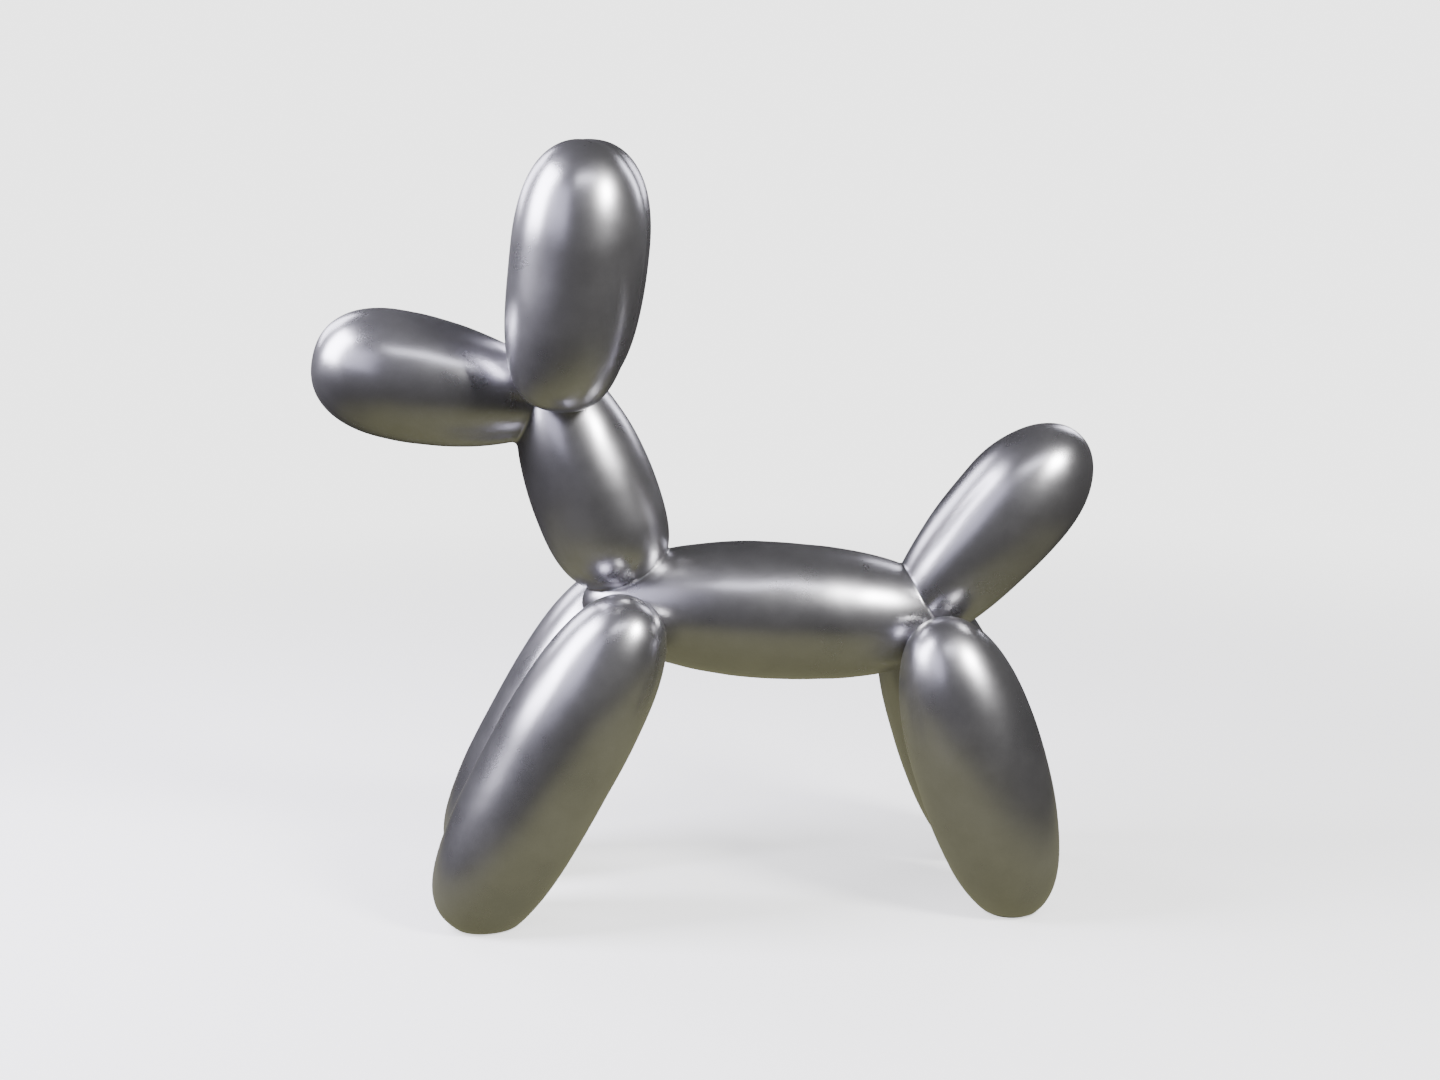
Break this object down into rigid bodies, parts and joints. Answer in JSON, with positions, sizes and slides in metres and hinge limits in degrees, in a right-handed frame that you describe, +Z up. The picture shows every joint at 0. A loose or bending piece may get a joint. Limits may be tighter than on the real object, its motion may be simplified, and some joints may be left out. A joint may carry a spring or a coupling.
{
  "type": "balloon dog statue",
  "caption": "Standing dog in the form of a twisted balloon animal: ten satin silver glass-fibre balloons bonded over a welded steel frame, for bolting to a floor.",
  "frame": {"origin": "on the floor, under the middle of the figure's box", "axes": "+Z up, the dog faces -X, its left side is -Y"},
  "size_m": [1.2226, 0.4608, 1.2013],
  "materials": {
    "silver_shell": "satin metallic silver paint with a fine flake, over glass-fibre laminate",
    "glass_tape": "raw glass-fibre laminate",
    "plywood": "raw birch plywood",
    "frame_steel": "matt grey primer",
    "plate_steel": "sawn and ground plate",
    "pad_rubber": "matt black sheet rubber"
  },
  "bodies": {
    "root": {"foot_pads": "pad_rubber", "front_cross_bar": "frame_steel", "front_left_leg_bar": "frame_steel", "front_left_leg_disc": "plywood", "front_left_leg_foot_plate": "plate_steel", "front_left_leg_seam_tape": "glass_tape", "front_left_leg_shell_back": "silver_shell", "front_left_leg_shell_front": "silver_shell", "front_right_leg_bar": "frame_steel", "front_right_leg_disc": "plywood", "front_right_leg_foot_plate": "plate_steel", "front_right_leg_seam_tape": "glass_tape", "front_right_leg_shell_back": "silver_shell", "front_right_leg_shell_front": "silver_shell", "head_cross_bar": "frame_steel", "left_ear_bar": "frame_steel", "left_ear_disc": "plywood", "left_ear_seam_tape": "glass_tape", "left_ear_shell_back": "silver_shell", "left_ear_shell_front": "silver_shell", "muzzle_bar": "frame_steel", "muzzle_disc": "plywood", "muzzle_seam_tape": "glass_tape", "muzzle_shell_lower": "silver_shell", "muzzle_shell_upper": "silver_shell", "neck_bar": "frame_steel", "neck_disc": "plywood", "neck_seam_tape": "glass_tape", "neck_shell_back": "silver_shell", "neck_shell_front": "silver_shell", "rear_cross_bar": "frame_steel", "rear_left_leg_bar": "frame_steel", "rear_left_leg_disc": "plywood", "rear_left_leg_foot_plate": "plate_steel", "rear_left_leg_seam_tape": "glass_tape", "rear_left_leg_shell_back": "silver_shell", "rear_left_leg_shell_front": "silver_shell", "rear_right_leg_bar": "frame_steel", "rear_right_leg_disc": "plywood", "rear_right_leg_foot_plate": "plate_steel", "rear_right_leg_seam_tape": "glass_tape", "rear_right_leg_shell_back": "silver_shell", "rear_right_leg_shell_front": "silver_shell", "right_ear_bar": "frame_steel", "right_ear_disc": "plywood", "right_ear_seam_tape": "glass_tape", "right_ear_shell_back": "silver_shell", "right_ear_shell_front": "silver_shell", "spine_bar": "frame_steel", "tail_bar": "frame_steel", "tail_disc": "plywood", "tail_seam_tape": "glass_tape", "tail_shell_lower": "silver_shell", "tail_shell_upper": "silver_shell", "trunk_disc": "plywood", "trunk_seam_tape": "glass_tape", "trunk_shell_lower": "silver_shell", "trunk_shell_upper": "silver_shell"}
  },
  "joints": []
}
